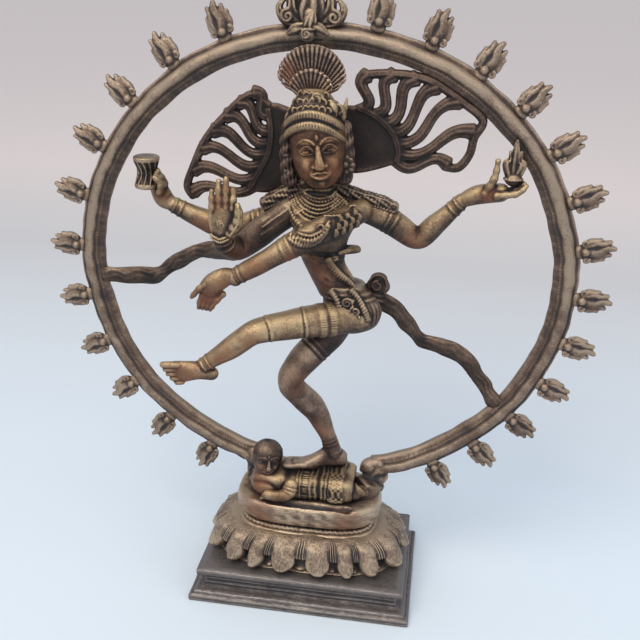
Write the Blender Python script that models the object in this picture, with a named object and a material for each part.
"""A cast brass dancing figure on a prone dwarf and a lotus base, inside a ring of flames.

The frame: X to the viewer's right, Y away from the viewer, Z up, origin on the floor under the base.
Sizes are in millimetres and become metres when a mesh is made.
"""
import math

import bmesh
import bpy
from mathutils import Vector

MM = 0.001
SEAM = 0.3                  # clearance between a piece and what it is seated on

# Plinth: a stepped rectangular foot, hollow underneath
PLATE_WIDTH = 112.0
PLATE_DEPTH = 72.0
PLATE_THICKNESS = 3.2
NECK_INSET = 4.0            # how far the neck stands back from the plate
SLAB_OVERHANG = 4.0         # how far the floor slab stands out from the plate
SLAB_THICKNESS = 3.4
STEP_HEIGHT = 2.6           # the moulding between the slab and the neck
PLINTH_HEIGHT = 17.9
PLINTH_WALL = 5.0

# Lotus seat: an oval of drooping petals
LOTUS_WIDTH = 111.0
LOTUS_DEPTH = 67.0
LOTUS_HEIGHT = 19.4
LOTUS_TOP_INSET = 13.0
PETAL_COUNT = 18
PETAL_RELIEF = 5.5          # how deep the valleys between the petals are

# Dais: a rounded oval slab with a rope moulding round its foot
DAIS_WIDTH = 80.0
DAIS_DEPTH = 45.0
DAIS_HEIGHT = 17.1
DAIS_ROUND = 4.0
ROPE_RADIUS = 1.6

# Prone dwarf
DWARF_LENGTH = 55.0
DWARF_WIDTH = 26.0
DWARF_HEIGHT = 15.0
DWARF_HEAD = 9.2            # half the head's height

# Ring of flames
RING_CENTRE_X = 1.8
RING_PLANE_Y = 8.0
RING_OVER_CREST = 9.9       # the ring's top edge above the dancer's crest
RING_SINK = 13.8            # the ring's lowest point, if it were whole, below the dancer's sole
RING_HALF_WIDTH = 126.4
RING_BAND = 12.2            # radial width of the band with its lip
RING_LIP = 2.0              # width of the lip round the outside
RING_FRONT = 4.6            # the rounded front, forward of the ring's plane
RING_BACK = 2.8
RING_END_DEGREES = 15.0     # each half stops this far short of the ring's lowest point
RING_FOOT_RADIUS = 6.6
RING_FOOT_LEAN = 2.2        # how far the foot leans in under the band
LEFT_FLAME_COUNT = 11
RIGHT_FLAME_COUNT = 13
LEFT_FLAME_FIRST = 22.0     # degrees from the top of the ring
RIGHT_FLAME_FIRST = 10.5
LEFT_FLAME_LAST = 13.0      # degrees short of the end of the band
RIGHT_FLAME_LAST = 15.5
FLAME_HEIGHT = 17.6
FLAME_WIDTH = 12.4
FLAME_DEPTH = 4.0
FLAME_BEAD = 2.6

# Ornament
CREST_RADIUS = 24.0
CREST_STEP = 15.0           # radius of the lower tier of the crest
CREST_RIBS = 13
CREST_THICKNESS = 3.0
STRAND_WIDTH = 2.1          # half the width of a lock of hair
STRAND_WAVE = 2.2
HAIR_DEPTH = 2.0            # half the thickness of the hair, front to back
SASH_HALF_WIDTH = 3.8
SASH_HALF_DEPTH = 2.3
DRUM_RADIUS = 6.6
DRUM_WAIST = 4.2
DRUM_LENGTH = 16.0

# Dancer: places are drawn for a figure of one height above its sole, and stretch with the height it has
FIGURE_HEIGHT = 195.0       # from the sole to the top of the skull
DRAWN_HEIGHT = 195.0
STRETCH = FIGURE_HEIGHT / DRAWN_HEIGHT

# Head, from the chin up: x, y, height above the sole, half width, half depth
HEAD_SECTIONS = [(3.4, -11.4, 158.6, 3.0, 2.6), (2.8, -9.2, 161.0, 7.4, 6.6),
                 (1.8, -6.8, 166.0, 10.6, 10.0), (0.6, -6.0, 173.0, 12.4, 12.0),
                 (0.0, -6.0, 182.0, 12.4, 12.2), (-0.3, -6.0, 190.0, 10.6, 10.6),
                 (-0.4, -6.0, 195.0, 6.0, 6.4)]
CROWN_DROP = 11.0           # the crown's foot below the top of the skull
CROWN_HEIGHT = 18.0
CROWN_LOW = HEAD_SECTIONS[-1][2] - CROWN_DROP
CROWN_HIGH = CROWN_LOW + CROWN_HEIGHT
CREST_PIVOT = CROWN_HIGH - 8.0      # the crest's ribs fan out from here, inside the crown
CREST_TOP = CREST_PIVOT * STRETCH + CREST_RADIUS + 0.5

# Levels, each seated on the one below
LOTUS_FOOT = PLINTH_HEIGHT + SEAM
LOTUS_TOP = LOTUS_FOOT + LOTUS_HEIGHT
DAIS_FOOT = LOTUS_TOP + SEAM
DAIS_TOP = DAIS_FOOT + DAIS_HEIGHT
DWARF_FOOT = DAIS_TOP + SEAM
SOLE = DWARF_FOOT + DWARF_HEIGHT + SEAM
RING_HALF_HEIGHT = (CREST_TOP + RING_OVER_CREST + RING_SINK) / 2
RING_RISE = RING_HALF_HEIGHT - RING_SINK
RING_CENTRE_Z = SOLE + RING_RISE

BRASS_COLOURS = {
    "aged_brass": ((0.34, 0.23, 0.12), 0.42),
    "rubbed_brass": ((0.52, 0.36, 0.17), 0.34),
    "dark_brass": ((0.10, 0.075, 0.05), 0.48),
    "base_brass": ((0.30, 0.23, 0.15), 0.45),
}


def clear_scene():
    for old in list(bpy.data.objects):
        bpy.data.objects.remove(old, do_unlink=True)


def brass(name):
    found = bpy.data.materials.get(name)
    if found:
        return found
    colour, roughness = BRASS_COLOURS[name]
    made = bpy.data.materials.new(name)
    made.use_nodes = True
    shader = made.node_tree.nodes["Principled BSDF"]
    shader.inputs["Base Color"].default_value = (*colour, 1.0)
    shader.inputs["Metallic"].default_value = 1.0
    shader.inputs["Roughness"].default_value = roughness
    return made


def level(drawn):
    """A height drawn above the sole, as a height above the floor; what lies below the sole stays."""
    return SOLE + (drawn * STRETCH if drawn > 0 else drawn)


# Mesh helpers: every form is a run of rings, skinned and closed at both ends

def skin(rings):
    """A closed mesh over a run of rings; a ring of one point is a pole."""
    bm = bmesh.new()
    loops = [[bm.verts.new(Vector(p) * MM) for p in ring] for ring in rings]
    for low, high in zip(loops, loops[1:]):
        count = max(len(low), len(high))
        for i in range(count):
            j = (i + 1) % count
            corners = [low[i % len(low)], low[j % len(low)], high[j % len(high)], high[i % len(high)]]
            face = list(dict.fromkeys(corners))
            bm.faces.new(face)
    for loop in (loops[0], loops[-1]):
        if len(loop) > 2:
            bm.faces.new(loop)
    bmesh.ops.recalc_face_normals(bm, faces=bm.faces)
    mesh = bpy.data.meshes.new("form")
    bm.to_mesh(mesh)
    bm.free()
    return mesh


def rounded(angle, power):
    """A point on a unit oval: power 2 is round, more is squarer."""
    c, s = math.cos(angle), math.sin(angle)
    return (math.copysign(abs(c) ** (2 / power), c), math.copysign(abs(s) ** (2 / power), s))


def oval(centre, u, v, half_u, half_v, sides, power=2.0):
    ring = []
    for i in range(sides):
        c, s = rounded(2 * math.pi * (i + 0.5) / sides, power)
        ring.append(Vector(centre) + u * (c * half_u) + v * (s * half_v))
    return ring


def smooth(stations, steps):
    """Stations on a smooth curve through the given ones, which are tuples of numbers."""
    out = []
    last = len(stations) - 1
    for k in range(last):
        a, b, c, d = (stations[min(max(k + o, 0), last)] for o in (-1, 0, 1, 2))
        for s in range(steps):
            t = s / steps
            out.append(tuple(
                0.5 * (2 * q + (r - p) * t + (2 * p - 5 * q + 4 * r - w) * t ** 2
                       + (3 * q - p - 3 * r + w) * t ** 3)
                for p, q, r, w in zip(a, b, c, d)))
    out.append(tuple(stations[-1]))
    return out


SLIM_SIDES = 6              # a tube of so few sides ends in a plain point, others in a dome


def tube(stations, grow=0.0, sides=10, steps=2):
    """A limb: stations are x, y, z above the sole, half width seen from the front, half depth."""
    path = smooth(stations, steps)
    points = [Vector((s[0], s[1], level(s[2]))) for s in path]
    rings = []
    last = len(path) - 1
    for k, station in enumerate(path):
        along = (points[min(k + 1, last)] - points[max(k - 1, 0)]).normalized()
        across = along.cross(Vector((0, 1, 0))).normalized()
        depth = across.cross(along)
        wide, deep = station[3] + grow, station[4] + grow
        ends = {0: (-1,), last: (1,)}.get(k, ())
        body = oval(points[k], across, depth, wide, deep, sides)
        dome = oval(points[k], across, depth, wide * 0.72, deep * 0.72, sides)
        reach = min(wide, deep)
        if -1 in ends:
            rings.append([points[k] - along * reach])
        if -1 in ends and sides > SLIM_SIDES:
            rings.append([p - along * (reach * 0.7) for p in dome])
        rings.append(body)
        if 1 in ends and sides > SLIM_SIDES:
            rings.append([p + along * (reach * 0.7) for p in dome])
        if 1 in ends:
            rings.append([points[k] + along * reach])
    return skin(rings)


def stack(sections, grow=0.0, sides=14, steps=2, power=2.0, axis="Z"):
    """A body: sections are x, y, z above the sole, half width, half depth, level along one axis."""
    u, v, w = Vector((1, 0, 0)), Vector((0, 1, 0)), Vector((0, 0, 1))
    if axis == "X":
        u, v, w = Vector((0, 1, 0)), Vector((0, 0, 1)), Vector((1, 0, 0))
    path = smooth(sections, steps)
    rings = []
    for k, s in enumerate(path):
        lift = w * (grow * (2 * k / (len(path) - 1) - 1))
        centre = Vector((s[0], s[1], level(s[2]))) + lift
        rings.append(oval(centre, u, v, s[3] + grow, s[4] + grow, sides, power))
    return skin(rings)


def ball(place, half_x, half_y, half_z, grow=0.0, sides=12, rows=7):
    x, y, z = place
    rings = [[Vector((x, y, level(z) - half_z - grow))]]
    for k in range(1, rows):
        a = math.pi * k / rows
        centre = Vector((x, y, level(z) - (half_z + grow) * math.cos(a)))
        rings.append(oval(centre, Vector((1, 0, 0)), Vector((0, 1, 0)),
                          (half_x + grow) * math.sin(a), (half_y + grow) * math.sin(a), sides))
    rings.append([Vector((x, y, level(z) + half_z + grow))])
    return skin(rings)


# Base

def plinth_form():
    half_w, half_d = PLATE_WIDTH / 2, PLATE_DEPTH / 2
    hollow = NECK_INSET + PLINTH_WALL
    neck_top = PLINTH_HEIGHT - PLATE_THICKNESS
    hollow_top = neck_top - PLINTH_WALL / 2
    slab = -SLAB_OVERHANG
    step = slab / 2
    profile = [
        (hollow, hollow_top), (hollow, 0.0), (slab, 0.0), (slab, SLAB_THICKNESS),
        (step, SLAB_THICKNESS), (step, SLAB_THICKNESS + STEP_HEIGHT / 2),
        (NECK_INSET, SLAB_THICKNESS + STEP_HEIGHT), (NECK_INSET, neck_top - 1.2),
        (NECK_INSET / 2, neck_top), (0.0, neck_top), (0.0, PLINTH_HEIGHT),
    ]
    rings = []
    for inset, z in profile:
        w, d = half_w - inset, half_d - inset
        rings.append([(-w, -d, z), (w, -d, z), (w, d, z), (-w, d, z)])
    return skin(rings)


def lotus_form():
    """Rows down the petals; each row is an oval pulled in at the valleys between the petals."""
    rows = [
        (LOTUS_TOP_INSET, 1.00, 0.0), (LOTUS_TOP_INSET - 3.4, 0.92, 0.2), (5.6, 0.68, 0.55),
        (1.4, 0.38, 0.95), (0.0, 0.16, 1.0), (2.2, 0.05, 0.7), (4.4, 0.0, 0.2),
    ]
    across_petal = (0.0, 0.25, 0.5, 0.75)
    rings = []
    for inset, height, relief in rows:
        ring = []
        for petal in range(PETAL_COUNT):
            for share in across_petal:
                c, s = rounded(2 * math.pi * (petal + share) / PETAL_COUNT, 2.7)
                valley = abs(2 * share - 1) ** 2.2
                pull = inset + PETAL_RELIEF * relief * valley
                lift = 0.10 * relief * valley * LOTUS_HEIGHT
                ring.append((c * (LOTUS_WIDTH / 2 - pull), s * (LOTUS_DEPTH / 2 - pull),
                             LOTUS_FOOT + height * LOTUS_HEIGHT + lift))
        rings.append(ring)
    return skin(rings)


def dais_form(grow=0.0):
    rope = ROPE_RADIUS
    profile = [
        (DAIS_ROUND, 0.0), (DAIS_ROUND - rope * 0.5, rope), (DAIS_ROUND + rope, 2 * rope),
        (DAIS_ROUND * 0.4, 3.2 * rope),
        (0.0, DAIS_HEIGHT * 0.52), (0.0, DAIS_HEIGHT - DAIS_ROUND),
        (DAIS_ROUND * 0.3, DAIS_HEIGHT - DAIS_ROUND * 0.35), (DAIS_ROUND, DAIS_HEIGHT + grow),
    ]
    rings = []
    for inset, z in profile:
        centre = (0, 0, DAIS_FOOT + z)
        rings.append(oval(centre, Vector((1, 0, 0)), Vector((0, 1, 0)), DAIS_WIDTH / 2 - inset + grow,
                          DAIS_DEPTH / 2 - inset + grow, 26, 3.0))
    return skin(rings)


# Dwarf, lying face forward with the head to the left

DWARF_MID = -SEAM - DWARF_HEIGHT / 2
DWARF_HIP_X = 25.0
DWARF_SHOULDER_X = DWARF_HIP_X - DWARF_LENGTH
DWARF_Y = -4.0              # the body lies forward of the middle of the dais


def dwarf_body_form(grow=0.0):
    half_w, half_h = DWARF_WIDTH / 2, DWARF_HEIGHT / 2
    shape = [(0.0, 0.66, 0.74), (0.08, 0.88, 0.92), (0.20, 0.98, 1.0), (0.46, 0.98, 1.0),
             (0.74, 0.98, 1.0), (0.80, 1.03, 1.0), (0.95, 1.0, 1.0), (1.0, 0.86, 0.88)]
    sections = [(DWARF_SHOULDER_X + t * DWARF_LENGTH, DWARF_Y, DWARF_MID, half_w * w, half_h * h)
                for t, w, h in shape]
    return stack(sections, grow, sides=18, steps=1, power=3.0, axis="X")


def dwarf_head_centre():
    return (DWARF_SHOULDER_X + 7.0, DWARF_Y - 2.4, DWARF_MID + DWARF_HEIGHT / 2 + 4.4)


def dwarf_head_form(grow=0.0):
    return ball(dwarf_head_centre(), DWARF_HEAD * 0.88, DWARF_HEAD * 0.9, DWARF_HEAD, grow)


def dwarf_arm_form(grow=0.0):
    front = DWARF_Y - DWARF_WIDTH / 2
    floor = -SEAM - DWARF_HEIGHT
    return tube([(-7.6, front + 2.0, floor + 10.0, 4.2, 3.6),
                 (-9.4, front - 0.6, floor + 5.6, 4.4, 3.6),
                 (-15.0, front - 1.4, floor + 3.8, 3.4, 3.0),
                 (-21.6, front - 0.4, floor + 3.6, 3.4, 3.0)],
                grow, sides=8)


# Dancer

def hips_form(grow=0.0):
    return stack([(19.0, 0.0, 82.0, 7.0, 6.5), (20.0, 0.0, 86.0, 12.5, 10.5), (19.5, 0.0, 95.0, 15.0, 12.0),
                  (17.0, 0.0, 102.0, 13.0, 10.6), (14.0, 0.0, 107.0, 11.0, 9.4)], grow)


def torso_form(grow=0.0):
    return stack([(13.4, 0.0, 100.0, 10.6, 8.0), (8.4, 0.0, 109.5, 10.6, 8.4), (4.2, -1.0, 119.0, 10.8, 8.8),
                  (3.6, -3.0, 130.0, 13.0, 10.4), (4.0, -3.0, 140.0, 17.0, 11.0),
                  (4.4, -1.0, 147.0, 18.5, 8.8), (3.0, -0.5, 151.0, 11.0, 7.2),
                  (2.0, -2.0, 155.0, 6.6, 6.4), (1.0, -3.0, 163.0, 6.2, 6.0)], grow, steps=1)


def shoulder_lock_right():
    """A beaded lock of hair that lies over the shoulder."""
    return tube([(8.0, 0.0, 155.0, 4.0, 4.4), (20.0, 1.5, 151.0, 3.4, 4.6), (31.0, 3.0, 148.4, 3.0, 4.4),
                 (37.0, 3.4, 146.0, 2.6, 3.6)], sides=8, steps=1)


def shoulder_lock_left():
    return tube([(-6.0, 0.0, 156.0, 4.0, 4.4), (-14.0, 1.0, 151.0, 4.0, 4.8), (-25.0, 2.0, 144.6, 3.6, 4.4)],
                sides=8, steps=1)


def standing_leg_form(grow=0.0):
    return tube([(15.0, 0.0, 90.0, 8.0, 8.0), (8.0, -2.0, 79.0, 8.4, 8.4), (-3.0, -8.0, 67.0, 7.8, 7.8),
                 (-9.6, -11.0, 55.5, 6.6, 7.0), (-4.6, -5.0, 43.0, 6.6, 6.8), (2.6, 1.0, 31.0, 6.2, 6.6),
                 (9.0, 1.0, 17.0, 4.8, 4.9), (12.0, 0.5, 8.0, 5.6, 5.2)], grow)


def standing_foot_form(grow=0.0):
    """The foot lies flat on the dwarf's back, toes to the left."""
    shape = [(-12.5, -5.0, 1.9, 5.2), (-7.0, -4.4, 2.7, 5.6), (0.0, -2.8, 3.6, 5.0), (9.0, -0.6, 5.6, 4.6),
             (17.0, 1.4, 4.6, 4.6), (20.6, 2.2, 3.0, 3.2)]
    sections = [(x, y, half, w, half) for x, y, half, w in shape]
    return stack(sections, grow, sides=10, steps=1, power=2.6, axis="X")


def raised_leg_form(grow=0.0):
    return tube([(22.0, -3.0, 91.0, 9.0, 9.0), (8.0, -10.0, 90.4, 8.2, 8.2),
                 (-10.0, -18.0, 89.2, 7.2, 7.2), (-24.5, -25.0, 86.8, 6.0, 6.2),
                 (-37.6, -27.0, 78.0, 5.2, 5.6), (-50.0, -28.0, 68.6, 3.8, 4.0),
                 (-52.5, -28.5, 66.4, 4.2, 4.2)], grow)


def raised_foot_form(grow=0.0):
    return tube([(-46.5, -27.0, 64.0, 3.6, 3.8), (-53.0, -28.6, 65.6, 4.8, 4.6),
                 (-60.0, -29.6, 65.2, 5.0, 4.8), (-67.0, -30.4, 64.4, 5.4, 3.4)], grow, steps=1)


def hip_knot_form(grow=0.0):
    return tube([(29.0, 2.0, 95.0, 6.2, 5.4), (31.0, 2.6, 102.0, 4.6, 4.4), (31.6, 2.6, 105.4, 6.4, 5.0),
                 (31.8, 2.6, 109.0, 4.6, 3.6)], grow, steps=1)


def head_form(grow=0.0):
    return stack(HEAD_SECTIONS, grow, steps=1)


def crown_form(grow=0.0):
    shape = [(0.0, 13.8), (0.12, 14.8), (0.27, 13.9), (0.40, 14.5), (0.56, 12.6), (0.80, 10.0), (1.0, 5.6)]
    sections = [(-0.3 - 0.8 * t, -6.0, CROWN_LOW + t * CROWN_HEIGHT, r, r - 0.4) for t, r in shape]
    return stack(sections, grow, steps=1)


def crest_form():
    """A two-tier shell of ribs, fanned about a pivot inside the crown."""
    pivot = Vector((-3.0, -2.0, level(CREST_PIVOT)))
    spread = math.radians(66)
    stations = 2 * CREST_RIBS
    rings = []
    for k in range(stations + 1):
        a = spread * (2 * k / stations - 1)
        rib = 0.5 if k % 2 else -0.5
        out = Vector((math.sin(a), 0, math.cos(a)))
        reach = CREST_RADIUS - 4.5 * (abs(a) / spread) ** 2 + rib
        step = CREST_STEP - 2.0 * (abs(a) / spread) ** 2 + rib
        back, front = CREST_THICKNESS / 2, -CREST_THICKNESS / 2
        shape = [(5.0, back), (reach, back), (reach + 0.4, front - rib), (step + 1.0, front - rib),
                 (step, front - 1.8 - rib), (5.0, front - 1.8 - rib)]
        rings.append([pivot + out * r + Vector((0, y, 0)) for r, y in shape])
    return skin(rings)


def ear_rosette_form(grow=0.0):
    return tube([(13.4, -6.4, 163.0, 4.2, 3.6), (14.4, -7.0, 168.4, 5.4, 4.6), (14.0, -6.6, 175.0, 3.2, 3.0),
                 (13.0, -5.6, 182.0, 2.4, 2.4)], grow, sides=8, steps=1)


def ear_pendant_form(grow=0.0):
    return tube([(-13.0, -5.4, 160.0, 2.6, 2.6), (-13.6, -5.6, 168.0, 3.0, 3.0),
                 (-13.6, -5.0, 176.0, 2.8, 2.8), (-13.0, -4.6, 184.0, 2.2, 2.4)], grow, sides=8, steps=1)


# Arms: stations from the shoulder to the wrist

def gesture_arm_form(grow=0.0):
    return tube([(-12.0, -2.0, 142.0, 6.8, 6.4), (-22.0, -5.0, 135.0, 6.6, 6.2),
                 (-34.0, -11.0, 126.0, 6.0, 6.0), (-39.5, -18.0, 127.4, 4.8, 5.0),
                 (-41.0, -22.0, 132.4, 3.9, 3.6)], grow)


def crossing_arm_form(grow=0.0):
    return tube([(24.0, -4.0, 145.6, 6.8, 6.4), (12.0, -15.0, 141.0, 6.4, 6.2),
                 (-2.0, -23.5, 135.4, 6.0, 6.0), (-18.0, -26.4, 125.6, 4.9, 5.0),
                 (-33.6, -28.0, 116.0, 4.2, 4.2)], grow)


def drum_arm_form(grow=0.0):
    return tube([(-12.0, 4.0, 141.0, 6.4, 6.0), (-28.0, 5.0, 134.4, 5.8, 5.6), (-45.0, 5.0, 129.6, 5.6, 5.4),
                 (-59.0, 3.6, 134.0, 5.0, 4.8), (-72.4, 2.0, 140.4, 4.0, 4.0)], grow)


def flame_arm_form(grow=0.0):
    return tube([(22.0, 3.0, 144.6, 6.6, 6.2), (36.0, 4.0, 138.4, 6.0, 5.8), (49.0, 5.6, 130.8, 5.2, 5.2),
                 (58.0, 5.0, 139.0, 4.8, 4.8), (68.4, 4.0, 150.4, 3.8, 3.8)], grow)


def gesture_hand_parts():
    """Palm to the viewer, four fingers up, thumb folded over the palm."""
    palm = tube([(-41.0, -22.6, 132.0, 3.6, 3.0), (-40.4, -23.6, 140.0, 6.0, 3.2),
                 (-39.8, -24.0, 147.0, 6.2, 2.8)], steps=1)
    fingers = [tube([(x, -24.0, 145.0, 1.7, 1.9), (x + lean, -24.4, tip - 6.0, 1.6, 1.8),
                     (x + 1.2 * lean, -24.4, tip, 1.1, 1.3)], sides=6, steps=1)
               for x, lean, tip in ((-44.6, -0.2, 156.0), (-41.4, 0.0, 160.6), (-38.2, 0.2, 162.0),
                                    (-35.2, 0.4, 157.6))]
    thumb = tube([(-36.0, -24.0, 138.0, 2.6, 2.4), (-33.4, -26.0, 144.0, 2.2, 2.2),
                  (-33.6, -26.6, 149.0, 1.5, 1.6)],
                 sides=6, steps=1)
    return [palm, *fingers, thumb]


def crossing_hand_parts():
    """A hand that hangs from the wrist like an elephant's trunk, pointing at the raised foot."""
    palm = tube([(-33.0, -28.0, 116.4, 3.6, 3.6), (-40.0, -29.6, 115.4, 4.8, 4.0),
                 (-46.0, -30.0, 110.0, 5.0, 4.0)], steps=1)
    fingers = [tube([(-46.0 + 2.6 * i, -30.0, 109.0, 1.8, 2.2),
                     (-49.6 + 2.0 * i, -30.4, 104.0 - 0.6 * i, 1.7, 2.0),
                     (-51.2 + 1.8 * i, -30.0, 99.6 - 0.4 * i, 1.2, 1.4)], sides=6, steps=1) for i in range(3)]
    thumb = tube([(-47.0, -31.0, 112.0, 1.9, 2.0), (-51.6, -31.6, 108.0, 1.6, 1.7),
                  (-54.6, -31.6, 104.8, 1.1, 1.2)],
                 sides=6, steps=1)
    return [palm, *fingers, thumb]


DRUM_CENTRE = Vector((-84.0, 0.0, 156.6))


def drum_form(grow=0.0):
    half = DRUM_LENGTH / 2
    shape = [(-1.0, DRUM_RADIUS - 0.8), (-0.94, DRUM_RADIUS), (-0.72, DRUM_RADIUS), (-0.6, DRUM_RADIUS - 1.0),
             (-0.12, DRUM_WAIST), (0.12, DRUM_WAIST), (0.6, DRUM_RADIUS - 1.0), (0.72, DRUM_RADIUS),
             (0.94, DRUM_RADIUS), (1.0, DRUM_RADIUS - 0.8)]
    x, y, z = DRUM_CENTRE
    sections = [(x, y, z + t * half, r, r) for t, r in shape]
    return stack(sections, grow, sides=12, steps=1)


def drum_hand_parts():
    """The palm comes up under the drum and the fingers close round its waist."""
    palm = tube([(-72.0, 2.0, 140.2, 3.6, 3.6), (-78.0, 2.0, 144.0, 5.4, 4.6),
                 (-79.0, 1.6, 149.0, 5.0, 4.4)], steps=1)
    fingers = [tube([(-76.6, -1.0 + 2.0 * i, 148.0, 2.0, 1.8), (-76.4, -4.0 + 1.4 * i, 153.0, 1.9, 1.7),
                     (-79.0, -6.0 - 0.2 * i, 156.0 + 1.4 * i, 1.5, 1.5)], sides=6, steps=1) for i in range(2)]
    thumb = tube([(-80.0, 5.0, 148.0, 2.0, 2.0), (-79.0, 6.6, 153.0, 1.7, 1.7),
                  (-82.0, 6.4, 157.6, 1.3, 1.3)],
                 sides=6, steps=1)
    return [palm, *fingers, thumb]


PALM_FLAME_BASE = Vector((91.0, 1.0, 161.0))


def palm_bud_form(grow=0.0):
    x, y, z = PALM_FLAME_BASE
    return ball((x, y, z + 2.4), 4.2, 3.6, 3.6, grow, sides=10, rows=6)


def palm_flame_parts():
    x, y, z = PALM_FLAME_BASE
    tongues = [tube([(x + 0.8 * side, y, z + 3.0, 2.6, 2.2), (x + 3.4 * side, y, z + 9.0, 2.4, 1.9),
                     (x + 1.8 * side, y, z + tip - 4.0, 1.5, 1.3), (x + 2.6 * side, y, z + tip, 0.6, 0.6)],
                    sides=6, steps=1) for side, tip in ((-1, 15.0), (0, 20.0), (1, 15.0))]
    return [palm_bud_form(), *tongues]


def flame_hand_parts():
    """An open palm turned up, fingers spread behind the flame it carries."""
    palm = tube([(68.0, 4.0, 150.0, 3.4, 3.4), (77.0, 2.6, 155.0, 5.6, 4.4), (87.0, 1.4, 156.6, 5.4, 4.6)],
                steps=1)
    fingers = [tube([(86.0 + 1.6 * i, -2.4 + 2.4 * i, 156.0, 1.9, 1.8),
                     (94.0, -3.0 + 2.8 * i, 158.0, 1.7, 1.7), (97.4, -3.2 + 3.0 * i, 162.0, 1.2, 1.2)],
                    sides=6, steps=1) for i in range(3)]
    thumb = tube([(80.0, -0.4, 157.0, 2.4, 2.4), (82.6, -1.6, 165.0, 1.9, 1.9),
                  (83.2, -2.0, 172.0, 1.3, 1.3)],
                 sides=6, steps=1)
    return [palm, *fingers, thumb]


# Sashes: grooved strips that run from the figure out to the ring

def sash(route, grow):
    return tube([(x, y, z, SASH_HALF_WIDTH, SASH_HALF_DEPTH) for x, y, z in route], grow, sides=8)


def ring_inner_x(height):
    """Where the ring's band starts at a height drawn above the sole, measured from its centre."""
    rise = (level(height) - RING_CENTRE_Z) / (RING_HALF_HEIGHT - RING_BAND)
    return (RING_HALF_WIDTH - RING_BAND) * math.sqrt(1 - rise ** 2)


HIP_SASH_END = 43.0
ELBOW_SASH_END = 98.0


def hip_sash_form(grow=0.0):
    end = RING_CENTRE_X + ring_inner_x(HIP_SASH_END) + RING_BAND * 0.45
    return sash([(30.0, 3.6, 99.0), (40.0, 5.0, 93.0), (48.0, 6.6, 83.6), (55.0, RING_PLANE_Y, 75.6),
                 (66.0, RING_PLANE_Y, 72.6), (77.0, RING_PLANE_Y, 67.6), (87.0, RING_PLANE_Y, 55.6),
                 (end, RING_PLANE_Y, HIP_SASH_END)], grow)


def elbow_sash_form(grow=0.0):
    end = RING_CENTRE_X - ring_inner_x(ELBOW_SASH_END) - RING_BAND * 0.45
    return sash([(-38.0, -8.0, 121.0), (-50.0, 1.0, 118.0), (-62.0, 5.0, 115.6),
                 (-74.0, RING_PLANE_Y, 107.6), (-84.6, RING_PLANE_Y, 100.4), (-95.0, RING_PLANE_Y, 99.0),
                 (end, RING_PLANE_Y, ELBOW_SASH_END)],
                grow)


# Hair: wavy locks between a plate beside the head and a scalloped rim

def lock(start, end, wave):
    """One lock of hair from start to end, both x and height, with an S-bend between them."""
    a, b = Vector(start), Vector(end)
    along = b - a
    side = Vector((-along.y, along.x)).normalized()
    stations = []
    for k in range(5):
        t = k / 4
        p = a + along * t + side * (wave * math.sin(2 * math.pi * t))
        stations.append((p.x, RING_PLANE_Y, p.y, STRAND_WIDTH, HAIR_DEPTH))
    return tube(stations, sides=6, steps=1)


def hair_plate(corners):
    """A flat plate with the given outline, as thick as the hair."""
    front = RING_PLANE_Y - HAIR_DEPTH * 0.9
    back = RING_PLANE_Y + HAIR_DEPTH * 0.9
    return skin([[(x, y, level(z)) for x, z in corners] for y in (front, back)])


def hair_rim(route):
    return tube([(x, RING_PLANE_Y, z, STRAND_WIDTH * 0.95, HAIR_DEPTH * 1.05) for x, z in route],
                sides=6, steps=1)


def hair_right_parts():
    plate = hair_plate([(4.0, 160.0), (21.0, 160.6), (37.4, 166.6), (38.0, 172.0), (33.0, 181.0),
                        (25.6, 188.0), (18.4, 191.6), (4.0, 188.0)])
    ends = [((18.0, 189.6), (22.4, 205.6)), ((24.0, 187.2), (34.6, 206.2)), ((28.4, 183.4), (45.0, 205.2)),
            ((32.0, 179.4), (54.6, 201.6)), ((35.0, 175.0), (65.0, 195.4)), ((36.4, 171.0), (72.6, 181.6)),
            ((35.6, 168.0), (61.0, 165.4))]
    locks = [lock(a, b, -STRAND_WAVE) for a, b in ends]
    rim = hair_rim([(21.0, 205.8), (32.0, 206.8), (43.0, 206.2), (53.0, 203.0), (65.0, 196.0), (75.0, 188.0),
                    (71.6, 180.0), (70.4, 172.0), (66.0, 165.8), (60.0, 165.4)])
    return [plate, *locks, rim]


def hair_left_parts():
    plate = hair_plate([(-4.0, 158.0), (-4.0, 186.0), (-15.0, 189.4), (-24.6, 190.0), (-24.0, 170.0),
                        (-29.6, 158.0), (-35.0, 149.0), (-22.0, 148.6)])
    ends = [((-23.0, 186.0), (-33.0, 194.4)), ((-22.6, 178.4), (-40.4, 189.6)),
            ((-23.0, 172.4), (-47.0, 183.2)), ((-24.4, 167.4), (-53.6, 175.6)),
            ((-26.8, 162.0), (-59.0, 166.6)), ((-28.6, 157.0), (-63.6, 155.4)),
            ((-30.6, 152.4), (-64.0, 144.0))]
    locks = [lock(a, b, STRAND_WAVE) for a, b in ends]
    rim = hair_rim([(-25.0, 190.0), (-32.0, 194.8), (-39.0, 191.4), (-45.4, 185.0), (-53.0, 177.0),
                    (-58.6, 168.0), (-63.6, 157.0), (-66.4, 148.6), (-63.6, 143.6)])
    return [plate, *locks, rim]


# Ring

def ring_point(degrees, inset=0.0):
    """A point on the ring's outer edge, from the top, clockwise seen from the front."""
    a = math.radians(degrees)
    return Vector((RING_CENTRE_X + (RING_HALF_WIDTH - inset) * math.sin(a), RING_PLANE_Y,
                   RING_CENTRE_Z + (RING_HALF_HEIGHT - inset) * math.cos(a)))


def ring_normal(degrees):
    a = math.radians(degrees)
    return Vector((math.sin(a) / RING_HALF_WIDTH, 0, math.cos(a) / RING_HALF_HEIGHT)).normalized()


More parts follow.
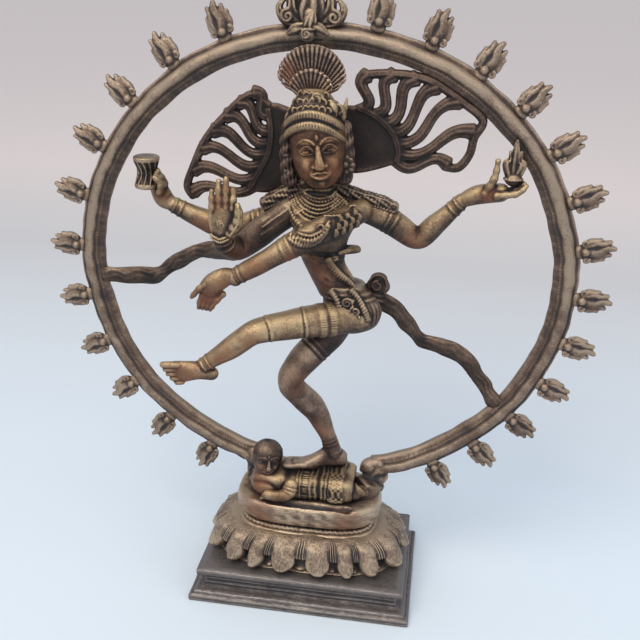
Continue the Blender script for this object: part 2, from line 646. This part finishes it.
def ring_half(side, grow=0.0):
    """Half the band: a rounded front, a chamfer inside, a flat back and a thin lip outside."""
    band = RING_BAND
    face = band - RING_LIP
    front = -RING_FRONT
    profile = [(0.0, RING_BACK), (0.0, front * 0.15), (face * 0.14, front * 0.66),
               (face * 0.34, front * 0.94), (face * 0.56, front), (face * 0.8, front * 0.86),
               (face * 0.96, front * 0.5), (face, front * 0.12), (band, front * 0.08),
               (band, RING_BACK * 0.9)]
    top_gap = math.degrees(SEAM / 2 / RING_HALF_WIDTH)
    rings = []
    steps = 25
    for k in range(steps + 1):
        degrees = top_gap + (180 - RING_END_DEGREES - top_gap) * k / steps
        if grow:
            degrees += (2 * k / steps - 1) * math.degrees(grow / RING_HALF_WIDTH)
        out = ring_normal(side * degrees)
        edge = ring_point(side * degrees)
        ring = []
        for r, y in profile:
            r_out = r + grow * (1 if r > band / 2 else -1)
            y_out = y + grow * (1 if y > 0 else -1)
            ring.append(edge + out * (r_out - band) + Vector((0, y_out, 0)))
        rings.append(ring)
    return skin(rings)


def ring_left_form(grow=0.0):
    return ring_half(-1, grow)


def ring_right_form(grow=0.0):
    return ring_half(1, grow)


def ring_foot(side):
    """The turned-down end of the band, let into the dais."""
    end = ring_point(side * (180 - RING_END_DEGREES - 1.5), RING_BAND / 2)
    low = DAIS_TOP - SOLE
    radius = RING_FOOT_RADIUS
    inward = end.x - side * RING_FOOT_LEAN
    return tube([(inward, end.y - 0.5, low - 4.0, radius, radius * 0.75),
                 (inward, end.y - 0.5, low + 4.0, radius * 0.95, radius * 0.7),
                 (end.x, end.y - 0.5, end.z - SOLE, radius * 0.85, radius * 0.62)], sides=10, steps=1)


def flame_outline():
    """Five pointed tongues that rise from a narrow root: sideways place and height, as shares."""
    right = [(0.3, 0.0), (0.98, 0.44), (0.56, 0.46), (0.86, 0.76), (0.36, 0.70)]
    tip = [(0.04, 1.0)]
    left = [(-x, z) for x, z in reversed(right)]
    return right + tip + left


def flame_mesh():
    """One flame, root on the origin, rising along +Z: a leaf of tongues with a bead in front of its root."""
    middle = 0.42
    rings = []
    for share, y in ((1.0, FLAME_DEPTH * 0.4), (0.74, -FLAME_DEPTH * 0.5)):
        rings.append([(x * share * FLAME_WIDTH / 2, y, (middle + (z - middle) * share) * FLAME_HEIGHT)
                      for x, z in flame_outline()])
    leaf = guide("flame_leaf", skin(rings))
    bead = ball((0.0, -FLAME_DEPTH * 0.4, FLAME_BEAD * 1.02 - SOLE), FLAME_BEAD, FLAME_BEAD, FLAME_BEAD,
                sides=6, rows=4)
    boolean(leaf, guide("flame_bead", bead), "UNION")
    bpy.context.view_layer.update()
    return bpy.data.meshes.new_from_object(leaf.evaluated_get(bpy.context.evaluated_depsgraph_get()))


def finial_place():
    return RING_CENTRE_X - 7.0, RING_PLANE_Y - 2.0, (RING_RISE + RING_HALF_HEIGHT) / STRETCH


def finial_heart_form(grow=0.0):
    x, y, z = finial_place()
    return tube([(x, y, z - 2.0, 5.0, 4.2), (x, y, z + 5.0, 7.0, 4.8), (x + 0.6, y, z + 12.0, 4.6, 3.4),
                 (x, y, z + 18.0, 1.2, 1.2)], grow, sides=8)


def finial_parts():
    """A tall flame between two pairs of curling scrolls, on the top of the ring."""
    x, y, z = finial_place()
    scrolls = []
    for side in (-1, 1):
        for reach, height, size in ((11.5, 1.6, 3.0), (12.5, 8.0, 2.8)):
            route = []
            for k in range(5):
                a = math.radians(-60 + 72 * k)
                shrink = 1 - 0.12 * k
                route.append((x + side * (reach + 3.4 * shrink * math.sin(a)), y - 0.6 + 0.1 * k,
                              z + height - 3.4 * shrink * math.cos(a), size * shrink, size * shrink))
            root = (x + side * 3.0, y, z + height - 1.0, size, size)
            scrolls.append(tube([root, *route], sides=6, steps=1))
    return [finial_heart_form(), *scrolls]


def clasp_parts():
    x, z = RING_CENTRE_X - 8.0, (RING_RISE + RING_HALF_HEIGHT - RING_BAND) / STRETCH
    y = RING_PLANE_Y - RING_FRONT - 2.0
    bead = ball((x, y, z + 7.4), 4.2, 3.8, 4.0, sides=10, rows=6)
    bud = tube([(x + 0.6, y, z + 9.4, 3.0, 2.8), (x + 1.6, y + 0.4, z + 13.4, 3.0, 2.6),
                (x + 2.6, y + 0.8, z + 17.0, 1.0, 1.0)], sides=6, steps=1)
    return [bead, bud]


# Assembly

CUTTERS = {
    "dais": dais_form, "dwarf_body": dwarf_body_form, "dwarf_head": dwarf_head_form, "hips": hips_form,
    "torso": torso_form, "raised_leg": raised_leg_form, "hip_knot": hip_knot_form, "head": head_form,
    "crown": crown_form, "gesture_arm": gesture_arm_form, "crossing_arm": crossing_arm_form,
    "drum_arm": drum_arm_form, "flame_arm": flame_arm_form, "drum": drum_form, "ring_left": ring_left_form,
    "ring_right": ring_right_form, "ear_rosette": ear_rosette_form, "ear_pendant": ear_pendant_form,
    "palm_bud": palm_bud_form, "finial_heart": finial_heart_form,
}


def guide(name, mesh):
    """A hidden shape that another piece is cut or joined by."""
    made = bpy.data.objects.new(name, mesh)
    bpy.context.scene.collection.objects.link(made)
    made.hide_render = True
    made.display_type = "WIRE"
    return made


def cutter(name):
    """The named piece, larger all round by the seam."""
    return bpy.data.objects.get("seat_" + name) or guide("seat_" + name, CUTTERS[name](SEAM))


def boolean(piece, other, operation):
    modifier = piece.modifiers.new(operation.lower() + "_" + other.name, "BOOLEAN")
    modifier.operation = operation
    modifier.solver = "EXACT"
    modifier.object = other


def add_piece(name, parts, material, seats=()):
    """A node: its parts joined into one body, then cut to sit against its neighbours."""
    first, *rest = parts
    first.name = name
    first.materials.append(brass(material))
    piece = bpy.data.objects.new(name, first)
    bpy.context.scene.collection.objects.link(piece)
    for k, mesh in enumerate(rest):
        boolean(piece, guide("join_%s_%d" % (name, k), mesh), "UNION")
    for neighbour in seats:
        boolean(piece, cutter(neighbour), "DIFFERENCE")
    first.shade_smooth()
    first.set_sharp_from_angle(angle=math.radians(40))
    return piece


def build_base():
    add_piece("plinth", [plinth_form()], "base_brass")
    add_piece("lotus_seat", [lotus_form()], "base_brass")
    add_piece("dais", [dais_form()], "rubbed_brass")


def build_dwarf():
    add_piece("dwarf_body", [dwarf_body_form()], "rubbed_brass")
    add_piece("dwarf_head", [dwarf_head_form()], "aged_brass", ["dwarf_body"])
    add_piece("dwarf_arm", [dwarf_arm_form()], "rubbed_brass", ["dais", "dwarf_body", "dwarf_head"])


def build_dancer():
    add_piece("hips", [hips_form()], "rubbed_brass")
    add_piece("raised_leg", [raised_leg_form(), raised_foot_form()], "rubbed_brass", ["hips"])
    add_piece("standing_leg", [standing_leg_form(), standing_foot_form()], "aged_brass",
              ["hips", "raised_leg"])
    add_piece("hip_knot", [hip_knot_form()], "aged_brass", ["hips"])
    add_piece("torso", [torso_form()], "rubbed_brass", ["hips", "head"])
    shoulders = ["torso", "head", "gesture_arm", "crossing_arm", "drum_arm", "flame_arm"]
    add_piece("shoulder_lock_left", [shoulder_lock_left()], "aged_brass", shoulders)
    add_piece("shoulder_lock_right", [shoulder_lock_right()], "aged_brass", shoulders)
    add_piece("head", [head_form()], "rubbed_brass")
    add_piece("crown", [crown_form()], "aged_brass", ["head"])
    add_piece("crest_fan", [crest_form()], "aged_brass", ["crown"])
    add_piece("ear_rosette", [ear_rosette_form()], "aged_brass", ["head", "crown", "torso"])
    add_piece("ear_pendant", [ear_pendant_form()], "aged_brass", ["head", "crown", "torso"])


def build_arms():
    add_piece("gesture_arm", [gesture_arm_form()], "aged_brass", ["torso"])
    add_piece("gesture_hand", gesture_hand_parts(), "rubbed_brass", ["gesture_arm"])
    add_piece("crossing_arm", [crossing_arm_form()], "rubbed_brass", ["torso"])
    add_piece("crossing_hand", crossing_hand_parts(), "rubbed_brass", ["crossing_arm"])
    add_piece("drum_arm", [drum_arm_form()], "aged_brass", ["torso", "gesture_arm"])
    add_piece("drum_hand", drum_hand_parts(), "aged_brass", ["drum_arm", "drum"])
    add_piece("drum", [drum_form()], "aged_brass")
    add_piece("flame_arm", [flame_arm_form()], "rubbed_brass", ["torso", "crossing_arm"])
    add_piece("flame_hand", flame_hand_parts(), "aged_brass", ["flame_arm", "palm_bud"])
    add_piece("palm_flame", palm_flame_parts(), "aged_brass")


def build_hair_and_sashes():
    around_head = ["head", "crown", "torso", "ear_rosette", "ear_pendant"]
    add_piece("hair_fan_right", hair_right_parts(), "dark_brass", around_head + ["ring_right"])
    add_piece("hair_fan_left", hair_left_parts(), "dark_brass", around_head + ["drum_arm", "gesture_arm"])
    add_piece("hip_sash", [hip_sash_form()], "dark_brass", ["hips", "hip_knot", "ring_right"])
    add_piece("elbow_sash", [elbow_sash_form()], "dark_brass", ["gesture_arm", "drum_arm", "ring_left"])


def build_ring():
    add_piece("ring_left", [ring_left_form(), ring_foot(-1)], "aged_brass",
              ["dais", "dwarf_body", "dwarf_head"])
    add_piece("ring_right", [ring_right_form(), ring_foot(1)], "aged_brass", ["dais"])
    add_piece("ring_finial", finial_parts(), "aged_brass", ["ring_left", "ring_right"])
    add_piece("ring_clasp", clasp_parts(), "aged_brass", ["ring_left", "ring_right", "finial_heart"])


def build_flames():
    leaf = flame_mesh()
    leaf.name = "flame"
    leaf.materials.append(brass("aged_brass"))
    band_end = 180 - RING_END_DEGREES
    for name, side, count, first, last in (
            ("left", -1, LEFT_FLAME_COUNT, LEFT_FLAME_FIRST, band_end - LEFT_FLAME_LAST),
            ("right", 1, RIGHT_FLAME_COUNT, RIGHT_FLAME_FIRST, band_end - RIGHT_FLAME_LAST)):
        for k in range(count):
            degrees = side * (first + (last - first) * k / (count - 1))
            flame = bpy.data.objects.new("flame_%s_%02d" % (name, k + 1), leaf)
            out = ring_normal(degrees)
            flame.location = (ring_point(degrees) + out * SEAM) * MM
            flame.rotation_euler = (0, math.atan2(out.x, out.z), 0)
            bpy.context.scene.collection.objects.link(flame)


def main():
    clear_scene()
    build_base()
    build_dwarf()
    build_dancer()
    build_arms()
    build_hair_and_sashes()
    build_ring()
    build_flames()


main()
